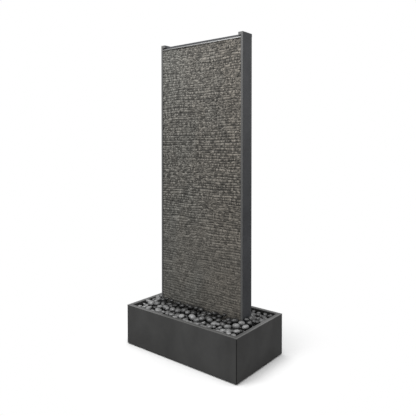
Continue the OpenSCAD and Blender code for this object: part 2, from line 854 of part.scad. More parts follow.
// Spill lip: an upstand behind, an apron on the slab's top edge and a nose in front
module spill_lip() {
    nose_y = front_y - lip_sheet - 0.2;
    color("lightgray") along_x(-slab_x, slab_x) polygon([
        [slab_back_y, slab_top], [slab_back_y, weir_z], [slab_back_y - lip_sheet, weir_z],
        [slab_back_y - lip_sheet, slab_top + lip_sheet], [nose_y, slab_top + lip_sheet],
        [nose_y, slab_top - nose_drop], [nose_y + lip_sheet, slab_top - nose_drop],
        [nose_y + lip_sheet, slab_top]
    ]);
}

// Tank connector: a socket for the riser below the trough and a stub inside it
module tank_connector() {
    color("gray") translate([riser_x, supply_y, 0]) difference() {
        union() {
            translate([0, 0, connector_z0]) cylinder(r = socket_r, h = riser_z1 - connector_z0 + 3);
            translate([0, 0, riser_z1 + 3 - eps]) cylinder(r = stub_r + 1, h = trough_z - riser_z1);
            translate([0, 0, trough_z + trough_sheet]) cylinder(r = stub_r + 5, h = 3);
            translate([0, 0, trough_z]) cylinder(r = stub_r, h = stub_z1 - trough_z);
        }
        translate([0, 0, connector_z0 - 1])
            cylinder(r = riser_r + sleeve_gap, h = riser_z1 - connector_z0 + 1);
        translate([0, 0, connector_z0]) cylinder(r = stub_r - 2, h = stub_z1);
    }
}

module connector_nut() {
    nut_z = riser_z1 + 3.2;
    color("dimgray") translate([riser_x, supply_y, nut_z]) difference() {
        cylinder(r = stub_r + 6, h = trough_z - nut_z, $fn = 6);
        translate([0, 0, -1]) cylinder(r = stub_r + 1 + sleeve_gap, h = trough_h, $fn = 40);
    }
}

// Tee between the connector's stub and the two spray bars
module spray_tee() {
    sleeve_r = spray_r + fitting_wall;
    leg_z0 = trough_z + trough_sheet + 4;
    color("gray") difference() {
        union() {
            rod_x(riser_x - 25, riser_x + 25, supply_y, spray_z, sleeve_r);
            translate([riser_x, supply_y, leg_z0]) cylinder(r = stub_r + fitting_wall, h = spray_z - leg_z0);
        }
        rod_x(riser_x - 26, riser_x - 6, supply_y, spray_z, spray_r + sleeve_gap);
        rod_x(riser_x + 6, riser_x + 26, supply_y, spray_z, spray_r + sleeve_gap);
        rod_x(riser_x - 7, riser_x + 7, supply_y, spray_z, spray_r - spray_wall);
        translate([riser_x, supply_y, leg_z0 - 1])
            cylinder(r = stub_r + sleeve_gap, h = stub_z1 - leg_z0 + 1.5);
        translate([riser_x, supply_y, leg_z0]) cylinder(r = stub_r - 2, h = spray_z - leg_z0);
    }
}

// One spray bar along X with a row of holes that face up and back
module spray_bar(x0, x1) {
    holes = floor((x1 - x0 - 50) / 30);
    difference() {
        rod_x(x0, x1, supply_y, spray_z, spray_r);
        rod_x(x0 - 1, x1 + 1, supply_y, spray_z, spray_r - spray_wall);
        for (i = [0 : holes]) {
            translate([x0 + 25 + i * (x1 - x0 - 50) / holes, supply_y, spray_z])
                rotate([-30, 0, 0]) cylinder(r = spray_hole_r, h = spray_r + 2);
        }
    }
}

module spray_bars() {
    color("gray") {
        spray_bar(-spray_half, riser_x - 6.2);
        spray_bar(riser_x + 6.2, spray_half);
    }
}

module spray_caps() {
    color("dimgray") for (side = [0, 1]) mirror([side, 0, 0]) difference() {
        rod_x(spray_half - 18, spray_half + 3, supply_y, spray_z, spray_r + 2.5);
        rod_x(spray_half - 19, spray_half + 0.1, supply_y, spray_z, spray_r + sleeve_gap);
    }
}

// Saddles that hold the spray bar off the trough's floor
module bar_cradles() {
    floor_top = trough_z + trough_sheet;
    side_y = spray_r + 0.75 * cradle_t;
    color("dimgray") for (x = [-0.65, 0.8]) {
        translate([x * spray_half, 0, 0]) difference() {
            union() {
                span([-cradle_foot / 2, supply_y - side_y - 1, floor_top],
                     [cradle_foot / 2, supply_y + side_y + 1, floor_top + cradle_t / 2]);
                span([-cradle_t / 2, supply_y - side_y, floor_top],
                     [cradle_t / 2, supply_y + side_y, spray_z]);
            }
            rod_x(-cradle_foot, cradle_foot, supply_y, spray_z, spray_r + sleeve_gap);
        }
    }
}

module riser_pipe() {
    color("gray") translate([riser_x, supply_y, riser_z0]) difference() {
        cylinder(r = riser_r, h = riser_z1 - riser_z0);
        translate([0, 0, -1]) cylinder(r = riser_r - riser_wall, h = riser_z1 - riser_z0 + 2);
    }
}

// Clips that hold the riser to the two middle rails
module pipe_clips() {
    ring_r = riser_r + 3;
    color("dimgray") for (i = [1, 2]) {
        z = rail_z[i] + rail_h / 2;
        z0 = z - clip_ring_h / 2;
        difference() {
            union() {
                span([riser_x - clip_w / 2, rail_back_y, z - rail_h / 2],
                     [riser_x + clip_w / 2, rail_back_y + clip_t, z + rail_h / 2]);
                span([riser_x - riser_r / 2, rail_back_y + 1, z0],
                     [riser_x + riser_r / 2, supply_y, z0 + clip_ring_h]);
                translate([riser_x, supply_y, z0]) cylinder(r = ring_r, h = clip_ring_h);
            }
            translate([riser_x, supply_y, z0 - 1]) cylinder(r = riser_r + sleeve_gap, h = clip_ring_h + 2);
        }
    }
}

// Elbow from the hose up into the riser
module riser_elbow() {
    low_z = elbow_z - socket_r;
    color("gray") difference() {
        union() {
            translate([riser_x, supply_y, low_z]) cylinder(r = socket_r, h = riser_z0 + 18 - low_z);
            rod_y(riser_x, supply_y, elbow_barb_y, elbow_z, barb_r);
            rod_y(riser_x, supply_y, hose_start_y - 1, elbow_z, barb_r + 2.5);
        }
        translate([riser_x, supply_y, riser_z0]) cylinder(r = riser_r + sleeve_gap, h = 20);
        translate([riser_x, supply_y, elbow_z - 6])
            cylinder(r = riser_r - riser_wall, h = riser_z0 - elbow_z + 7);
        rod_y(riser_x, supply_y, elbow_barb_y + 1, elbow_z, barb_r - 2.5);
    }
}

// The hose's outline with radius r: level off the elbow, one bend, then down onto the pump
module hose_run(r, extra) {
    bend_y = pump_y - hose_bend;
    rod_y(riser_x, hose_start_y - extra, bend_y + eps, elbow_z, r);
    translate([riser_x, bend_y, barb_z]) rotate([0, 90, 0]) rotate([0, 0, 90])
        rotate_extrude(angle = 90) translate([hose_bend, 0]) circle(r = r);
    translate([riser_x, pump_y, pump_top + 3 - extra])
        cylinder(r = r, h = barb_z - pump_top - 3 + extra + eps);
}

module riser_hose() {
    color("black") difference() {
        hose_run(hose_out, 0);
        hose_run(hose_in, 1);
    }
}

// Worm-drive clamps on the hose's two ends
module clamp_ring() {
    band_r = hose_out + sleeve_gap;
    difference() {
        union() {
            cylinder(r = band_r + 1, h = 10);
            translate([band_r - 1, -7, 0]) cube([8, 14, 10]);
        }
        translate([0, 0, -1]) cylinder(r = band_r, h = 12);
    }
}

module hose_clamps() {
    color("silver") {
        translate([riser_x, hose_start_y + 6, elbow_z]) rotate([-90, 0, 0]) rotate([0, 0, 90]) clamp_ring();
        translate([riser_x, pump_y, pump_top + 5]) rotate([0, 0, 90]) clamp_ring();
    }
}

// Pump: motor housing with the rotor's bore and a gland for its lead
module pump_body() {
    gland_end = motor_x + motor_l + gland_l;
    color("darkslateblue") difference() {
        union() {
            translate([0, pump_y, pump_z]) along_x(motor_x, motor_x + motor_l) round_rect(pump_w, pump_h, 8);
            rod_x(motor_x + motor_l - eps, gland_end, pump_y, pump_z + 12, gland_r);
            for (i = [0 : 4]) {
                span([motor_x + 10 + i * 12, pump_y - pump_w / 2 + 9, pump_top - 1],
                     [motor_x + 14 + i * 12, pump_y + pump_w / 2 - 9, pump_top + 2]);
            }
        }
        rod_x(motor_x - 1, magnet_x1 + 2, pump_y, pump_z, magnet_r + rotor_gap);
        rod_x(magnet_x1 + 1, magnet_x1 + 2 + bush_l, pump_y, pump_z, bush_r + run_gap);
        rod_x(gland_end - 10, gland_end + 1, pump_y, pump_z + 12, gland_bore);
    }
}

// Impeller chamber with the outlet barb and a spider that holds the front bush
module pump_volute() {
    barb_z0 = pump_z + chamber_r + 1;
    color("darkslateblue") difference() {
        union() {
            difference() {
                translate([0, pump_y, pump_z]) along_x(chamber_x, motor_x) round_rect(pump_w, pump_h, 8);
                rod_x(chamber_x + chamber_wall, motor_x + 1, pump_y, pump_z, chamber_r);
                rod_x(chamber_x - 1, motor_x, pump_y, pump_z, eye_r);
            }
            rod_x(chamber_x, chamber_x + chamber_wall, pump_y, pump_z, bush_r + 2);
            for (a = [0, 120, 240]) {
                translate([chamber_x, pump_y, pump_z]) rotate([a, 0, 0])
                    translate([0.5, -1, bush_r + 1]) cube([chamber_wall - 1, 2, eye_r - bush_r + 1]);
            }
            translate([riser_x, pump_y, barb_z0]) cylinder(r = barb_r, h = barb_z - barb_z0);
        }
        rod_x(chamber_x - 1, chamber_x + chamber_wall + 1, pump_y, pump_z, bush_r + run_gap);
        translate([riser_x, pump_y, pump_z + chamber_r - 4]) cylinder(r = barb_r - 2.5, h = pump_h);
    }
}

// Slotted cage that keeps grit out of the pump; it pulls off the front
module strainer_cage() {
    slot_w = 3;
    slots = 7;
    slot_step = (pump_w - 22) / (slots - 1);
    slot_y0 = pump_y - pump_w / 2 + 11 - slot_w / 2;
    color("darkslategray") difference() {
        translate([0, pump_y, pump_z]) along_x(cage_x, chamber_x) round_rect(pump_w, pump_h, 8);
        translate([0, pump_y, pump_z]) along_x(cage_x + cage_wall, chamber_x + 1)
            round_rect(pump_w - 2 * cage_wall, pump_h - 2 * cage_wall, 6);
        for (i = [0 : slots - 1], side = [-1, 1]) {
            translate([cage_x - 1, slot_y0 + i * slot_step, pump_z + side * (dial_r + 7) - 5])
                cube([cage_wall + 2, slot_w, 10]);
        }
        for (i = [0 : 2]) {
            span([cage_x + 7 + i * 6, pump_y - pump_w, pump_z - 16],
                 [cage_x + 10 + i * 6, pump_y + pump_w, pump_z + 16]);
        }
        rod_x(cage_x - 1, cage_x + cage_wall + 1, pump_y, pump_z, 3 + run_gap);
    }
}

// Flow dial on the cage's front, with a grip bar and a plain pointer
module flow_dial() {
    color("firebrick") difference() {
        union() {
            rod_x(cage_x - 4, cage_x - 0.2, pump_y, pump_z, dial_r);
            rod_x(cage_x - 1, cage_x + cage_wall + 4, pump_y, pump_z, 3);
            rod_x(cage_x + cage_wall + 0.2, cage_x + cage_wall + 2, pump_y, pump_z, 5);
            span([cage_x - 8, pump_y - 2, pump_z - dial_r + 2], [cage_x - 3, pump_y + 2, pump_z + dial_r - 2]);
        }
        rod_x(cage_x - 9, cage_x - 7, pump_y, pump_z + dial_r - 4, 1);
    }
}

module impeller() {
    x0 = chamber_x + chamber_wall + 2;
    x1 = motor_x - 4;
    color("ivory") difference() {
        union() {
            rod_x(x0, magnet_x0, pump_y, pump_z, shaft_r + 3.5);
            rod_x(x1 - 2, x1, pump_y, pump_z, impeller_r);
            for (a = [0 : 360 / blades : 359]) {
                translate([x0, pump_y, pump_z]) rotate([a, 0, 0])
                    translate([0, -0.8, shaft_r + 2]) cube([x1 - x0 - 1, 1.6, impeller_r - shaft_r - 3]);
            }
        }
        rod_x(x0 - 1, magnet_x0 + 1, pump_y, pump_z, shaft_r + run_gap);
    }
}

module rotor_magnet() {
    color("black") difference() {
        rod_x(magnet_x0, magnet_x1, pump_y, pump_z, magnet_r);
        rod_x(magnet_x0 - 1, magnet_x1 + 1, pump_y, pump_z, shaft_r + run_gap);
    }
}

module pump_shaft() {
    color("white") rod_x(chamber_x + 0.5, magnet_x1 + 2 + bush_l - 0.5, pump_y, pump_z, shaft_r);
}

module shaft_bushes() {
    color("dimgray") for (x = [chamber_x, magnet_x1 + 2]) {
        difference() {
            rod_x(x, x + bush_l, pump_y, pump_z, bush_r);
            rod_x(x - 1, x + bush_l + 1, pump_y, pump_z, shaft_r + 0.02);
        }
    }
}

// Rubber suction feet between the pump and the basin's floor
module suction_feet() {
    color("black") for (x = [chamber_x + 13, motor_x + motor_l - 12], y = [-1, 1]) {
        translate([x, pump_y + y * (pump_w / 2 - 11), floor_z]) rotate_extrude() polygon([
            [0, 1.5], [sucker_r - 2, 0], [sucker_r, 0], [sucker_r * 0.5, 0.5 * sucker_h],
            [sucker_r * 0.5, sucker_h], [0, sucker_h]
        ]);
    }
}

basin_shell();
foot_pads();
drain_fitting();
drain_gasket();
drain_nut();
drain_stopper();
cable_grommet();
grate_ledges();
stand_frame();
tower_bolts();
tower_nuts();
front_grate();
back_grate();
left_grate();
right_grate();
front_pebbles();
back_pebbles();
left_pebbles();
right_pebbles();
left_fin();
right_fin();
bottom_rail();
lower_rail();
upper_rail();
top_rail();
slab_shelf();
shelf_screws();
stone_slab();
backing_board();
rear_panel();
panel_screws();
header_trough();
trough_brackets();
trough_cover();
spill_lip();
tank_connector();
connector_nut();
spray_tee();
spray_bars();
spray_caps();
bar_cradles();
riser_pipe();
pipe_clips();
riser_elbow();
riser_hose();
hose_clamps();
pump_body();
pump_volute();
strainer_cage();
flow_dial();
impeller();
rotor_magnet();
pump_shaft();
shaft_bushes();
suction_feet();
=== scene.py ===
import json
import math
import random

import bmesh
import bpy
from mathutils import Matrix, Vector, noise


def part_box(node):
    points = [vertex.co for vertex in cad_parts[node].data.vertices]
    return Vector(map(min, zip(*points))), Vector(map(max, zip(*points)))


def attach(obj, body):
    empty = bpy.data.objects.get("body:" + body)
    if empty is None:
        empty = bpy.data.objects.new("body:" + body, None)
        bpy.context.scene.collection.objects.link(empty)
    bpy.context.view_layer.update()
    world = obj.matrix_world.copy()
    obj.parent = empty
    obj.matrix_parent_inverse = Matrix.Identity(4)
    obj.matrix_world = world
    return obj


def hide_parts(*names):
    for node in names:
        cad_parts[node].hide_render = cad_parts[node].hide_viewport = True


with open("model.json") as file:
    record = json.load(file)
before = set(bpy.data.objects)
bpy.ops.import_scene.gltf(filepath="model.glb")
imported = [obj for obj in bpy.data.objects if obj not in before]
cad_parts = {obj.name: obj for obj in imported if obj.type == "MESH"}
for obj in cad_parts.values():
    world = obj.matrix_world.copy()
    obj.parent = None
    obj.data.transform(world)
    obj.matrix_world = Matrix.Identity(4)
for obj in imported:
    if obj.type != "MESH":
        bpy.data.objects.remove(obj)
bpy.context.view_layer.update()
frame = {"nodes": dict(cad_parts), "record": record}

nodes = frame["nodes"]
slotOf = {s["node"]: s["material_slot"] for s in frame["record"]["subparts"]}
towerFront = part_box("right_fin")[0].y
scene = bpy.context.scene
scene.view_settings.view_transform = "Standard"

# Camera and studio

view = {
    "place": (1.7471, -2.1316, 1.2064),
    "yaw": 38.68,  # degrees, from square on to the slab
    "pitch": 1.16,  # degrees below level
    "lens": 40.53,
    "shiftY": -0.1281,
    "farthest": 60,  # metres that the camera sees
}

studio = {
    "ambient": 0.68,
    "floorHalf": 14,  # half the floor's width
    "floorColour": (0.8, 0.8, 0.8, 1),
    "floorBounce": (0.15, 0.15, 0.15, 1),  # what the floor gives back to the object
    "floorFade": (0.4, 0.86),  # metres from the middle over which the floor turns plain white
    "lamps": {  # place, what it faces, size, watts
        "overhead": ((0.0, -0.1, 4.2), (0.0, 0.0, 0.2), 2.2, 112),
        "front": ((-0.5, -1.6, 3.0), (0.0, 0.0, 1.3), 1.2, 40),
    },
}


def aim(thing, place, target):
    thing.location = place
    thing.rotation_euler = (Vector(target) - Vector(place)).to_track_quat("-Z", "Y").to_euler()


def makeCamera():
    data = bpy.data.cameras.new("camera")
    data.lens = view["lens"]
    data.sensor_width = 36
    data.shift_y = view["shiftY"]
    data.clip_end = view["farthest"]
    cam = bpy.data.objects.new("camera", data)
    scene.collection.objects.link(cam)
    yaw = math.radians(view["yaw"])
    pitch = math.radians(view["pitch"])
    ahead = Vector((-math.sin(yaw) * math.cos(pitch), math.cos(yaw) * math.cos(pitch), -math.sin(pitch)))
    aim(cam, view["place"], Vector(view["place"]) + ahead)
    scene.camera = cam


def cameraRay(tree):
    return tree.nodes.new("ShaderNodeLightPath").outputs["Is Camera Ray"]


def mixShaders(tree, share, a, b):
    mix = tree.nodes.new("ShaderNodeMixShader")
    for source, socket in zip((share, a, b), mix.inputs):
        tree.links.new(source, socket)
    return mix.outputs[0]


def matte(tree, colour):
    node = tree.nodes.new("ShaderNodeBsdfDiffuse")
    node.inputs["Color"].default_value = colour
    return node.outputs[0]


def makeWorld():
    # white to the camera, a dimmer even light to everything else
    world = bpy.data.worlds.new("studioWorld")
    scene.world = world
    world.use_nodes = True
    tree = world.node_tree
    dim = tree.nodes["Background"]
    white = tree.nodes.new("ShaderNodeBackground")
    for node, strength in ((dim, studio["ambient"]), (white, 1.0)):
        node.inputs["Color"].default_value = (1, 1, 1, 1)
        node.inputs["Strength"].default_value = strength
    shown = mixShaders(tree, cameraRay(tree), dim.outputs[0], white.outputs[0])
    tree.links.new(shown, tree.nodes["World Output"].inputs[0])


def makeFloor():
    # takes the shadow near the basin, turns white further out and throws little light back
    bm = bmesh.new()
    bmesh.ops.create_grid(bm, x_segments=1, y_segments=1, size=studio["floorHalf"])
    floor = newPiece("floor", bm)
    mat = bpy.data.materials.new("floorWhite")
    mat.use_nodes = True
    tree = mat.node_tree
    tree.nodes.remove(tree.nodes["Principled BSDF"])
    coords = tree.nodes.new("ShaderNodeTexCoord")
    out = tree.nodes.new("ShaderNodeVectorMath")
    out.operation = "LENGTH"
    fade = tree.nodes.new("ShaderNodeMapRange")
    fade.interpolation_type = "SMOOTHSTEP"
    fade.inputs["From Min"].default_value, fade.inputs["From Max"].default_value = studio["floorFade"]
    white = tree.nodes.new("ShaderNodeEmission")
    tree.links.new(coords.outputs["Object"], out.inputs[0])
    tree.links.new(out.outputs["Value"], fade.inputs["Value"])
    seen = mixShaders(tree, fade.outputs[0], matte(tree, studio["floorColour"]), white.outputs[0])
    shown = mixShaders(tree, cameraRay(tree), matte(tree, studio["floorBounce"]), seen)
    tree.links.new(shown, tree.nodes["Material Output"].inputs[0])
    floor.data.materials.append(mat)


def makeLamps():
    for name, (place, target, size, power) in studio["lamps"].items():
        data = bpy.data.lights.new(name, "AREA")
        data.shape = "DISK"
        data.size = size
        data.energy = power
        lamp = bpy.data.objects.new(name, data)
        lamp.visible_camera = False
        scene.collection.objects.link(lamp)
        aim(lamp, place, target)


def newPiece(name, bm):
    mesh = bpy.data.meshes.new(name)
    bm.to_mesh(mesh)
    bm.free()
    piece = bpy.data.objects.new(name, mesh)
    scene.collection.objects.link(piece)
    return piece


# Finishes

class Finish:
    # one node material; every pattern is in the piece's own metres
    def __init__(self, name, colour, roughness, metallic=0.0, specular=0.5):
        self.mat = bpy.data.materials.new(name)
        self.mat.use_nodes = True
        self.tree = self.mat.node_tree
        self.shader = self.tree.nodes["Principled BSDF"]
        self.shader.inputs["Base Color"].default_value = (*colour, 1)
        self.shader.inputs["Roughness"].default_value = roughness
        self.shader.inputs["Metallic"].default_value = metallic
        self.shader.inputs["Specular IOR Level"].default_value = specular
        self.coords = self.tree.nodes.new("ShaderNodeTexCoord").outputs["Object"]

    def join(self, a, b):
        self.tree.links.new(a, b)

    def stretched(self, scale):
        # the piece's own place, so many times to the metre on all axes or on each
        node = self.tree.nodes.new("ShaderNodeMapping")
        node.inputs["Scale"].default_value = scale if isinstance(scale, tuple) else (scale,) * 3
        self.join(self.coords, node.inputs["Vector"])
        return node.outputs[0]

    def noise(self, scale, detail=3.0, rough=0.55, warp=0.0):
        node = self.tree.nodes.new("ShaderNodeTexNoise")
        node.inputs["Scale"].default_value = 1.0
        node.inputs["Detail"].default_value = detail
        node.inputs["Roughness"].default_value = rough
        node.inputs["Distortion"].default_value = warp
        self.join(self.stretched(scale), node.inputs["Vector"])
        return node.outputs["Fac"]

    def cells(self, scale):
        node = self.tree.nodes.new("ShaderNodeTexVoronoi")
        node.inputs["Scale"].default_value = 1.0
        self.join(self.stretched(scale), node.inputs["Vector"])
        return node.outputs["Color"]

    def maths(self, operation, *sources):
        node = self.tree.nodes.new("ShaderNodeMath")
        node.operation = operation
        for source, socket in zip(sources, node.inputs):
            self.join(source, socket)
        return node.outputs[0]

    def fitted(self, source, ends, low, high):
        # ends is "From" or "To"; the other side runs from 0 to 1
        node = self.tree.nodes.new("ShaderNodeMapRange")
        node.inputs[ends + " Min"].default_value = low
        node.inputs[ends + " Max"].default_value = high
        self.join(source, node.inputs["Value"])
        return node.outputs[0]

    def along(self, axis, low, high, mirrored=False):
        # 0 at low to 1 at high on one axis, both ways from the middle where mirrored
        split = self.tree.nodes.new("ShaderNodeSeparateXYZ")
        self.join(self.coords, split.inputs[0])
        value = self.maths("ABSOLUTE", split.outputs[axis]) if mirrored else split.outputs[axis]
        return self.fitted(value, "From", low, high)

    def within(self, axis, edge, band):
        # 0 at the band's first distance in from an edge to 1 at its second, on both sides of the middle
        return self.along(axis, edge - band[0], edge - band[1], True)

    def attribute(self, name):
        node = self.tree.nodes.new("ShaderNodeAttribute")
        node.attribute_name = name
        return node.outputs["Fac"]

    def ramp(self, source, stops):
        node = self.tree.nodes.new("ShaderNodeValToRGB")
        ramp = node.color_ramp
        while len(ramp.elements) < len(stops):
            ramp.elements.new(0.5)
        for element, (place, value) in zip(ramp.elements, stops):
            element.position = place
            element.color = (*value, 1) if isinstance(value, tuple) else (value, value, value, 1)
        self.join(source, node.inputs["Fac"])
        return node.outputs["Color"]

    def blend(self, a, b, share, mode="MIX"):
        node = self.tree.nodes.new("ShaderNodeMix")
        node.data_type = "RGBA"
        node.blend_type = mode
        sockets = node.inputs[0], node.inputs[6], node.inputs[7]  # the share and the two colours
        for value, socket in zip((share, a, b), sockets):
            if isinstance(value, float):
                socket.default_value = value
            elif isinstance(value, tuple):
                socket.default_value = (*value, 1)
            else:
                self.join(value, socket)
        return node.outputs[2]

    def colour(self, source):
        self.join(source, self.shader.inputs["Base Color"])

    def roughness(self, source, low, high):
        self.join(self.fitted(source, "To", low, high), self.shader.inputs["Roughness"])

    def bump(self, source, depth):
        node = self.tree.nodes.new("ShaderNodeBump")
        node.inputs["Distance"].default_value = depth
        self.join(source, node.inputs["Height"])
        self.join(node.outputs[0], self.shader.inputs["Normal"])


def shade(colour, factor):
    return tuple(min(1, c * factor) for c in colour)


coat = {
    "basin": (0.067, 0.067, 0.066),
    "tower": (0.07, 0.0725, 0.079),
    "cover": 0.6,  # tone of the trough's cover, as a share of the tower's; painted shade for the cover's front
    "cloud": 0.24,  # how far the coat's tone wanders
    "clouds": (5.5, 5.5, 4.0),  # clouds to the metre
    "flecks": 420.0,
    "grains": 900.0,
    "grain": 0.00012,  # how far a grain stands out
    "seamShadeColour": (0.012, 0.012, 0.012),  # of the painted shade down each corner of the basin
    "seamIn": (0.0035, 0.00245),  # how far in from the basin's sides it starts and is full
    "seamDown": (0.003, 0.004),  # and how far below the rim's top
    "rimHighlight": 1.7,  # painted highlight: how much lighter the rim's outer edge is
    "rimHighlightIn": (0.011, 0.007),  # how far in from the basin's sides that starts and is full
    "rimHighlightDown": (0.001, 0.0002),  # and how far below the rim's top
    "rimHighlightShare": 0.8,
    "lip": 1.7,  # painted highlight: how much lighter the fins' front edges are
    "lipBack": (0.0022, 0.0012),  # how far behind the tower's front that starts and is full
}


def basinEdges(f, body, colour, x, y, top):
    # painted shade down each corner's seam and a painted highlight along the rim's outer edge
    # painted shade: each corner's seam is darkened to stand for the shade inside it
    corner = f.maths("MULTIPLY", f.within("X", x, coat["seamIn"]), f.within("Y", y, coat["seamIn"]))
    seamShade = f.maths("MULTIPLY", corner, f.within("Z", top, coat["seamDown"]))
    body = f.blend(body, coat["seamShadeColour"], seamShade)
    # painted highlight along the rim's outer top edge, where light catches it
    rimHighlight = f.ramp(f.within("Z", top, coat["rimHighlightDown"]), ((0.0, 0.0), (1.0, coat["rimHighlightShare"])))
    for axis, side in (("X", x), ("Y", y)):
        edge = f.maths("MULTIPLY", rimHighlight, f.within(axis, side, coat["rimHighlightIn"]))
        body = f.blend(body, shade(colour, coat["rimHighlight"]), edge)
    return body


def powderCoat(name, colour, roughness, basin=None, front=None):
    f = Finish(name, colour, roughness, specular=0.45)
    cloud = f.noise(coat["clouds"], detail=4.0, rough=0.6, warp=0.4)
    broad = f.ramp(cloud, ((0.3, shade(colour, 1 - coat["cloud"])), (0.7, shade(colour, 1 + coat["cloud"]))))
    fine = f.ramp(f.noise(coat["flecks"], detail=2.0), ((0.35, 0.44), (0.65, 0.56)))
    body = f.blend(broad, fine, 0.6, "OVERLAY")
    if basin:
        body = basinEdges(f, body, colour, *basin)
    if front is not None:
        # painted highlight along the fins' front edges
        lip = f.along("Y", front + coat["lipBack"][0], front + coat["lipBack"][1])
        body = f.blend(body, shade(coat["basin"], coat["lip"]), lip)
    f.colour(body)
    f.roughness(f.noise(14.0, detail=5.0), roughness - 0.07, roughness + 0.09)
    f.bump(f.noise(coat["grains"], detail=1.0), coat["grain"])
    return f.mat


def steel(name, colour, roughness, brushed):
    # brushed is how many lines there are to the metre on each axis
    f = Finish(name, colour, roughness, metallic=1.0)
    lines = f.noise(brushed, detail=3.0, rough=0.6)
    tone = f.ramp(lines, ((0.3, shade(colour, 0.86)), (0.7, shade(colour, 1.1))))
    stain = f.ramp(f.noise(7.0, detail=4.0), ((0.35, 0.42), (0.7, 0.55)))
    f.colour(f.blend(tone, stain, 0.5, "OVERLAY"))
    f.roughness(lines, roughness - 0.08, roughness + 0.1)
    f.bump(lines, 0.00006)
    return f.mat


def galvanised(name, colour):
    f = Finish(name, colour, 0.5, metallic=0.85)
    spangles = f.cells(95.0)
    tone = f.ramp(spangles, ((0.1, shade(colour, 0.78)), (0.9, shade(colour, 1.15))))
    stain = f.ramp(f.noise(9.0, detail=5.0), ((0.3, 0.42), (0.7, 0.56)))
    f.colour(f.blend(tone, stain, 0.6, "OVERLAY"))
    f.roughness(spangles, 0.38, 0.62)
    f.bump(f.noise(260.0), 0.00008)
    return f.mat


def moulded(name, colour, roughness, specular=0.5, grain=0.0001):
    f = Finish(name, colour, roughness, specular=specular)
    patch = f.noise(18.0, detail=4.0)
    f.colour(f.ramp(patch, ((0.3, shade(colour, 0.88)), (0.7, shade(colour, 1.1)))))
    f.roughness(f.noise(60.0, detail=3.0), roughness - 0.06, roughness + 0.08)
    f.bump(f.noise(1100.0, detail=1.0), grain)
    return f.mat


# Stone slab

slab = {
    "columns": 200,
    "rows": 485,
    "foot": (0.5, 1.1),  # between these heights the foot's long level courses turn short and rough
    "level": (-0.1, 0.3),  # drift at which a patch starts to be level and is wholly so
    "levelFoot": 0.22,  # added to that drift at the foot
    "bold": (0.72, 1.12),  # strength of the relief low down and high up
    "boldRise": (0.4, 1.0),  # heights between which it grows
    "course": 0.0149,  # height of one course
    "waver": 0.45,  # how far the courses wander up and down, in courses
    "uneven": (0.5, 0.3),  # how uneven their heights are near the top and at the foot
    "ragged": (0.34, 0.05),  # how ragged their joints are in rough and in level places
    "shortest": 0.0068,  # shortest flake in a course
    "longest": (0.015, 0.042),  # longest flake near the top and at the foot
    "whole": (0.45, 0.9),  # share of flakes that aren't split in rough and in level places
    "joint": 0.0026,  # how far the joints between the flakes go in
    "jointSpread": (0.6, 1.3),  # and how that differs from flake to flake
    "levelClose": (2.4, 3.6),  # how soon a level joint closes above and below its line
    "endClose": 5.0,  # the same beside an upright joint, where one flake ends
    "endJoint": 0.8,  # how deep upright joints are beside level ones
    "jut": 0.0016,  # how far one flake lies behind another
    "lean": 0.0008,  # how far the bottom of a flake lies behind its top
    "grit": 0.0004,
    "deepest": 0.0042,
    "contrast": (1.0, 0.65),  # how much the flakes differ in tone near the top and at the foot
    "courseTone": 0.1,  # how much the courses do
    "gritTone": 0.45,
    "sides": (0.4, 0.2),  # tone of the sawn sides and back, and how much of the joints' painted shade they take
    "warm": (0.168, 0.154, 0.133),
    "green": (0.159, 0.157, 0.143),
    "warmSide": (-0.3, 0.3),  # green turns to warm between these, from left to right
    # colour of the painted shade in the joints between the flakes
    "jointShade": (0.024, 0.023, 0.021),
    "footDarkening": (0.2, 0.72),  # the stone is darker towards its foot, between these heights
    "footDarkeningTone": 0.8,
}


def held(value, most=1.0):
    # kept from 0 to most
    return max(0.0, min(most, value))


def smooth(low, high, value):
    t = held((value - low) / (high - low))
    return t * t * (3 - 2 * t)


def steady(a, b):
    # the same number from 0 to 1 each time for the same two values
    value = math.sin(a * 1271.7 + b * 3117.3) * 4375.85
    return value - math.floor(value)


def mixed(a, b, share):
    return a + (b - a) * share


def drift(x, y, z):
    # smooth noise, from about -1 to 1
    return noise.noise(Vector((x, y, z)))


def courseAt(x, z, foot, level):
    # the course that a point is in, and how far up it the point is
    wave = slab["waver"] * drift(x * 7.0, z * 11.0, 1.3)
    uneven = mixed(*slab["uneven"], foot) * drift(x * 4.0, 3.0, z * 44.0)
    ragged = mixed(*slab["ragged"], level) * drift(x * 36.0, 7.1, z * 30.0)
    up = z / slab["course"] + wave + uneven + ragged
    row = math.floor(up)
    return row, up - row


def flakeAt(x, z, foot, row):
    # the flake of its course that a point is in, and how far along it the point is
    length = mixed(slab["shortest"], mixed(*slab["longest"], foot), steady(row, 5.0) ** 2)
    shift = 0.5 * drift(x * 45.0, row * 3.3, z * 60.0)
    along = x / length + 9 * steady(row, 1.7) + shift
    flake = math.floor(along)
    return flake, along - flake


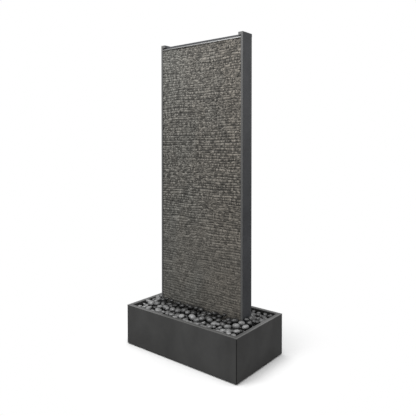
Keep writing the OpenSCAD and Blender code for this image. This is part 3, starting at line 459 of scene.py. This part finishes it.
def reliefAt(x, z):
    # depth behind the front, tone of the stone and painted shade in the joint
    foot = 1 - smooth(*slab["foot"], z)
    level = smooth(*slab["level"], drift(x * 3.0, 4.0, z * 7.0) + slab["levelFoot"] * foot)
    bold = mixed(*slab["bold"], smooth(*slab["boldRise"], z))
    row, part = courseAt(x, z, foot, level)
    flake, across = flakeAt(x, z, foot, row)
    if steady(flake, row) > mixed(*slab["whole"], level):  # the flake is split in two, one above the other
        flake += 0.5 * (part > 0.5)
        part = (2 * part) % 1.0
    above, below = slab["levelClose"]
    levelJoint = 1 - min(part * above, (1 - part) * below)
    endJoint = slab["endJoint"] * (1 - min(across, 1 - across) * slab["endClose"]) * steady(row, flake)
    joint = max(0.0, levelJoint, endJoint) * mixed(*slab["jointSpread"], steady(flake + 0.3, row))
    grit = drift(x * 130.0, 9.0, z * 200.0)
    jut = slab["jut"] * steady(row + 0.7, flake)
    lean = slab["lean"] * (1 - part)
    depth = slab["joint"] * joint + jut + lean + slab["grit"] * (1 + grit)
    flakeTone = mixed(*slab["contrast"], foot) * (steady(flake, row + 0.2) - 0.5)
    courseTone = slab["courseTone"] * (steady(row, 8.0) - 0.5)
    tone = 0.5 + bold * (flakeTone + courseTone + slab["gritTone"] * grit)
    return held(depth * bold, slab["deepest"]), held(tone), held(joint * bold)


def makeSlab():
    low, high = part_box("stone_slab")
    bm = bmesh.new()
    bmesh.ops.create_grid(bm, x_segments=slab["columns"], y_segments=slab["rows"], size=0.5)
    width, height = high.x - low.x, high.z - low.z
    toPlace = Matrix.Translation(((low.x + high.x) / 2, low.y, (low.z + high.z) / 2))
    upright = Matrix.Rotation(math.radians(90), 4, "X")
    stretch = Matrix.Diagonal((width, height, 1, 1))
    bmesh.ops.transform(bm, matrix=toPlace @ upright @ stretch, verts=bm.verts)
    toneLayer = bm.verts.layers.float.new("tone")
    jointShadeLayer = bm.verts.layers.float.new("jointShade")
    for v in bm.verts:
        depth, v[toneLayer], v[jointShadeLayer] = reliefAt(v.co.x, v.co.z)
        v.co.y += depth
    rim = [e for e in bm.edges if e.is_boundary]
    made = bmesh.ops.extrude_edge_only(bm, edges=rim)["geom"]
    back = {g for g in made if isinstance(g, bmesh.types.BMVert)}
    for v in back:
        v.co.y = high.y
        v[toneLayer], v[jointShadeLayer] = slab["sides"]
    backRim = [g for g in made if isinstance(g, bmesh.types.BMEdge) and back.issuperset(g.verts)]
    bmesh.ops.holes_fill(bm, edges=backRim, sides=0)
    bmesh.ops.recalc_face_normals(bm, faces=bm.faces)
    for f in bm.faces:
        f.smooth = len(f.verts) == 4 and abs(f.normal.y) > 0.2  # the sawn sides and back stay flat
    piece = newPiece("splitFaceSlab", bm)
    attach(piece, "fountain")
    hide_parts("stone_slab")
    piece.data.materials.append(slateFinish())
    print("slab", len(piece.data.polygons))


def slateFinish():
    f = Finish("splitFaceStone", slab["warm"], 0.72, specular=0.35)
    clouds = f.noise((6.0, 6.0, 3.2), detail=4.0, warp=0.6)
    side = f.blend(f.along("X", *slab["warmSide"]), clouds, 0.6)
    hue = f.ramp(side, ((0.3, slab["green"]), (0.65, slab["warm"])))
    shades = f.ramp(f.attribute("tone"), ((0.0, 0.12), (0.45, 0.5), (1.0, 1.0)))
    body = f.blend(hue, shades, 0.85, "OVERLAY")
    fleck = f.ramp(f.noise((150.0, 60.0, 230.0), detail=2.0, rough=0.7), ((0.35, 0.3), (0.65, 0.7)))
    body = f.blend(body, fleck, 0.5, "OVERLAY")
    # the stone is darker towards its foot
    footDarkening = f.ramp(f.along("Z", *slab["footDarkening"]), ((0.0, slab["footDarkeningTone"]), (1.0, 1.0)))
    body = f.blend(body, footDarkening, 1.0, "MULTIPLY")
    # painted shade in the joints, where the flakes part
    jointShadow = f.ramp(f.attribute("jointShade"), ((0.1, 0.0), (0.85, 0.9)))
    f.colour(f.blend(body, slab["jointShade"], jointShadow))
    f.roughness(f.noise(120.0, detail=3.0), 0.55, 0.85)
    f.bump(f.noise((160.0, 60.0, 300.0), detail=4.0, rough=0.65), 0.0009)
    return f.mat


# Pebbles

pebbles = {
    "large": (0.019, 0.0265),  # half the length of most stones
    "small": (0.0125, 0.017),  # the same of the ones between
    "fill": (0.0075, 0.0115),  # and of those down in the gaps
    "width": (0.76, 0.95),  # share of the length
    "thick": (0.5, 0.66),
    "lump": 0.12,  # how far a stone departs from an even shape
    "tilt": 0.16,
    "tries": 12000,
    "smallFrom": 0.6,  # share of the tries after which stones are small
    "fillFrom": 0.65,  # and after which they only fill the gaps
    "fillUnder": 0.014,  # least depth of those under the bed's top
    "cell": 0.04,  # a stone looks for neighbours one cell of this size around
    "squeeze": 0.84,  # how closely neighbours lie
    "low": 0.036,  # height of the bed at the rim, above the grates
    "heap": 0.041,  # how much higher it is at the tower
    "reach": 0.12,  # width of the slope
    "heapHalf": 0.3,  # half the width along which it is highest
    "levelFrom": 0.06,  # behind this the bed is level
    "wetHalf": 0.28,  # half the width on which the water lands
    "wetBack": 0.01,  # how far behind the tower's front it still does
    "wetEnds": 3,  # how much sooner the wet stones end sideways than forwards
    "wet": (0.2, 0.58),  # nearness to the water at which stones start to darken and are darkest
    "slabFootDarkening": 0.96,  # how much darker that is
    "buriedShade": (0.006, 0.016),  # painted shade: depth under the bed's top at which stones start to darken and are darkest
    "buriedShadeStrength": 0.95,
    "tones": (0.5, 1.0),  # of the darkest and the lightest stone
    "colour": (0.158, 0.159, 0.159),
}

# each bed's body, seed, how light its stones are, which is painted shade where the tower shades the bed, and
# how far in from its edge their middles stay, in half lengths
beds = {
    "front_pebbles": ("fountain", 7, 1.0, 0.8),
    "back_pebbles": ("rear_tray", 19, 0.38, 0.95),  # these lift out with their tray
    "left_pebbles": ("fountain", 23, 0.7, 0.8),
    "right_pebbles": ("fountain", 37, 0.29, 0.8),
}


def stoneTemplate():
    # a ball of 54 faces
    bm = bmesh.new()
    bmesh.ops.create_cube(bm, size=2)
    bmesh.ops.subdivide_edges(bm, edges=bm.edges, cuts=2, use_grid_fill=True)
    for v in bm.verts:
        v.co.normalize()
    mesh = bpy.data.meshes.new("stone")
    bm.to_mesh(mesh)
    bm.free()
    return mesh


def nearness(x, y):
    # 1 at the tower's front, falling to 0 where the bed is level
    out = math.hypot(max(0.0, towerFront - y), max(0.0, abs(x) - pebbles["heapHalf"]))
    return max(0.0, 1 - out / pebbles["reach"]) if y < pebbles["levelFrom"] else 0.0


# stones are darker near the slab's foot
def nearSlabFoot(x, y):
    # 1 where the water lands at the slab's foot
    sideways = pebbles["wetEnds"] * max(0.0, abs(x) - pebbles["wetHalf"])
    out = math.hypot(towerFront - y, sideways) / pebbles["reach"]
    return smooth(*pebbles["wet"], 1 - out) if y < towerFront + pebbles["wetBack"] else 0.0


def cellOf(x, y):
    return int(x / pebbles["cell"]), int(y / pebbles["cell"])


def restingHeight(x, y, a, c, base, grid):
    # height at which a stone's middle comes to rest on the stones around it
    z = base + c
    column, line = cellOf(x, y)
    for i in (-1, 0, 1):
        for j in (-1, 0, 1):
            for ox, oy, oz, oa, oc in grid.get((column + i, line + j), ()):
                reach = (a + oa) * pebbles["squeeze"]
                apart = math.hypot(x - ox, y - oy)
                if apart < reach:
                    z = max(z, oz + (c + oc) * math.sqrt(1 - (apart / reach) ** 2))
    return z


def layStones(node, seed, shadeTone, inset):
    rnd = random.Random(seed)
    low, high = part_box(node)
    base = low.z
    laid = []
    grid = {}
    for attempt in range(pebbles["tries"]):
        stage = attempt / pebbles["tries"]
        filling = stage >= pebbles["fillFrom"]
        size = "fill" if filling else "small" if stage >= pebbles["smallFrom"] else "large"
        a = rnd.uniform(*pebbles[size])
        c = a * rnd.uniform(*pebbles["thick"])
        b = a * rnd.uniform(*pebbles["width"])
        x = rnd.uniform(low.x + a * inset, high.x - a * inset)
        y = rnd.uniform(low.y + a * inset, high.y - a * inset)
        z = restingHeight(x, y, a, c, base, grid)
        cover = base + pebbles["low"] + pebbles["heap"] * nearness(x, y) - z - c
        if cover < (pebbles["fillUnder"] if filling else 0.0):
            continue
        # painted shade of the bed, and darker stones near the slab's foot
        darkenedTone = shadeTone * (1 - pebbles["slabFootDarkening"] * nearSlabFoot(x, y))
        # painted shade on stones lying low between the others
        darkenedTone *= 1 - pebbles["buriedShadeStrength"] * smooth(*pebbles["buriedShade"], cover)
        turn = rnd.uniform(0, math.pi)
        tilts = rnd.gauss(0, pebbles["tilt"]), rnd.gauss(0, pebbles["tilt"])
        laid.append(((x, y, z), (a, b, c), turn, tilts, rnd.random(), darkenedTone))
        grid.setdefault(cellOf(x, y), []).append((x, y, z, a, c))
    return laid


def makePebbles(node, body, seed, shadeTone, inset, template, finish):
    bm = bmesh.new()
    tone = bm.verts.layers.float.new("tone")
    stones = layStones(node, seed, shadeTone, inset)
    for middle, halves, turn, (tiltX, tiltY), shadeOf, darkenedTone in stones:
        start = len(bm.verts)
        bm.from_mesh(template)
        bm.verts.ensure_lookup_table()
        mine = bm.verts[start:]
        for v in mine:
            own = Vector((shadeOf * 90, turn * 7, 0))  # each stone has its own lumps
            v.co *= 1 + pebbles["lump"] * noise.noise(v.co * 1.1 + own)
            # each stone's own tone, darkened by the painted shade of its bed and depth and near the slab's
            # foot
            v[tone] = mixed(*pebbles["tones"], shadeOf) * darkenedTone
        place = Matrix.Translation(middle) @ Matrix.Rotation(turn, 4, "Z") @ Matrix.Rotation(tiltX, 4, "X")
        place = place @ Matrix.Rotation(tiltY, 4, "Y") @ Matrix.Diagonal((*halves, 1))
        bmesh.ops.transform(bm, matrix=place, verts=mine)
    for f in bm.faces:
        f.smooth = True
    piece = newPiece(node.replace("_pebbles", "RiverPebbles"), bm)
    piece.data.materials.append(finish)
    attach(piece, body)
    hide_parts(node)
    print(node, len(stones), "stones")


def pebbleFinish():
    colour = pebbles["colour"]
    f = Finish("polishedPebble", colour, 0.4, specular=0.6)
    tones = (0.0, shade(colour, 0.05)), (0.3, shade(colour, 0.5)), (1.0, shade(colour, 1.5))
    each = f.ramp(f.attribute("tone"), tones)
    veins = f.ramp(f.noise(90.0, detail=4.0, warp=1.2), ((0.35, 0.42), (0.7, 0.6)))
    f.colour(f.blend(each, veins, 0.6, "OVERLAY"))
    f.roughness(f.noise(70.0, detail=3.0), 0.3, 0.5)
    f.bump(f.noise(500.0, detail=2.0), 0.00012)
    return f.mat


# What the coated, metal, rubber and plastic pieces wear

def makeFinishes():
    low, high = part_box("basin_shell")
    return {
        "basin_paint": powderCoat("basinCoat", coat["basin"], 0.42, basin=(high.x, -low.y, high.z)),
        "tower_paint": powderCoat("towerCoat", coat["tower"], 0.46, front=towerFront),
        "rubber": moulded("blackRubber", (0.02, 0.02, 0.02), 0.7, 0.3),
        "brass": steel("dullBrass", (0.5, 0.36, 0.16), 0.4, (40.0, 40.0, 400.0)),
        "galvanised": galvanised("zincSteel", (0.42, 0.43, 0.44)),
        "stainless": steel("brushedStainless", (0.36, 0.36, 0.355), 0.46, (30.0, 500.0, 500.0)),
        "board": moulded("foamBoard", (0.62, 0.62, 0.6), 0.65, 0.3),
        "grey_plastic": moulded("pipeGrey", (0.18, 0.185, 0.19), 0.45),
        "black_plastic": moulded("pumpBlack", (0.018, 0.018, 0.02), 0.5),
        "red_plastic": moulded("dialRed", (0.42, 0.03, 0.025), 0.4),
        "white_plastic": moulded("impellerWhite", (0.68, 0.67, 0.62), 0.45),
        "ferrite": moulded("ferriteGrey", (0.045, 0.045, 0.045), 0.6, 0.4),
        "alumina": moulded("aluminaWhite", (0.8, 0.79, 0.74), 0.2, 0.6, 0.00002),
        "bush_rubber": moulded("bushRubber", (0.03, 0.03, 0.03), 0.65, 0.3),
    }


def specialFinishes():
    # nodes that look different from the rest of their slot
    wet = ("front_grate", "back_grate", "left_grate", "right_grate", "grate_ledges")
    return {
        **dict.fromkeys(wet, galvanised("wetZinc", (0.12, 0.122, 0.12))),
        # painted shade: the trough's cover is darker than the rest of the tower
        "trough_cover": powderCoat("shadedCoverCoat", shade(coat["tower"], coat["cover"]), 0.5),
    }


def dressNodes(finishes, special, replaced):
    for name, thing in nodes.items():
        if name in replaced:
            continue
        finish = special.get(name) or finishes[slotOf[name]]
        if not thing.material_slots:
            thing.data.materials.append(finish)
        for place in thing.material_slots:
            place.material = finish


makeCamera()
makeWorld()
makeFloor()
makeLamps()
print("studio ready")
makeSlab()
stone = stoneTemplate()
polished = pebbleFinish()
for bed, (body, seed, shadeTone, inset) in beds.items():
    makePebbles(bed, body, seed, shadeTone, inset, stone, polished)
dressNodes(makeFinishes(), specialFinishes(), {"stone_slab", *beds})
print("finishes on")
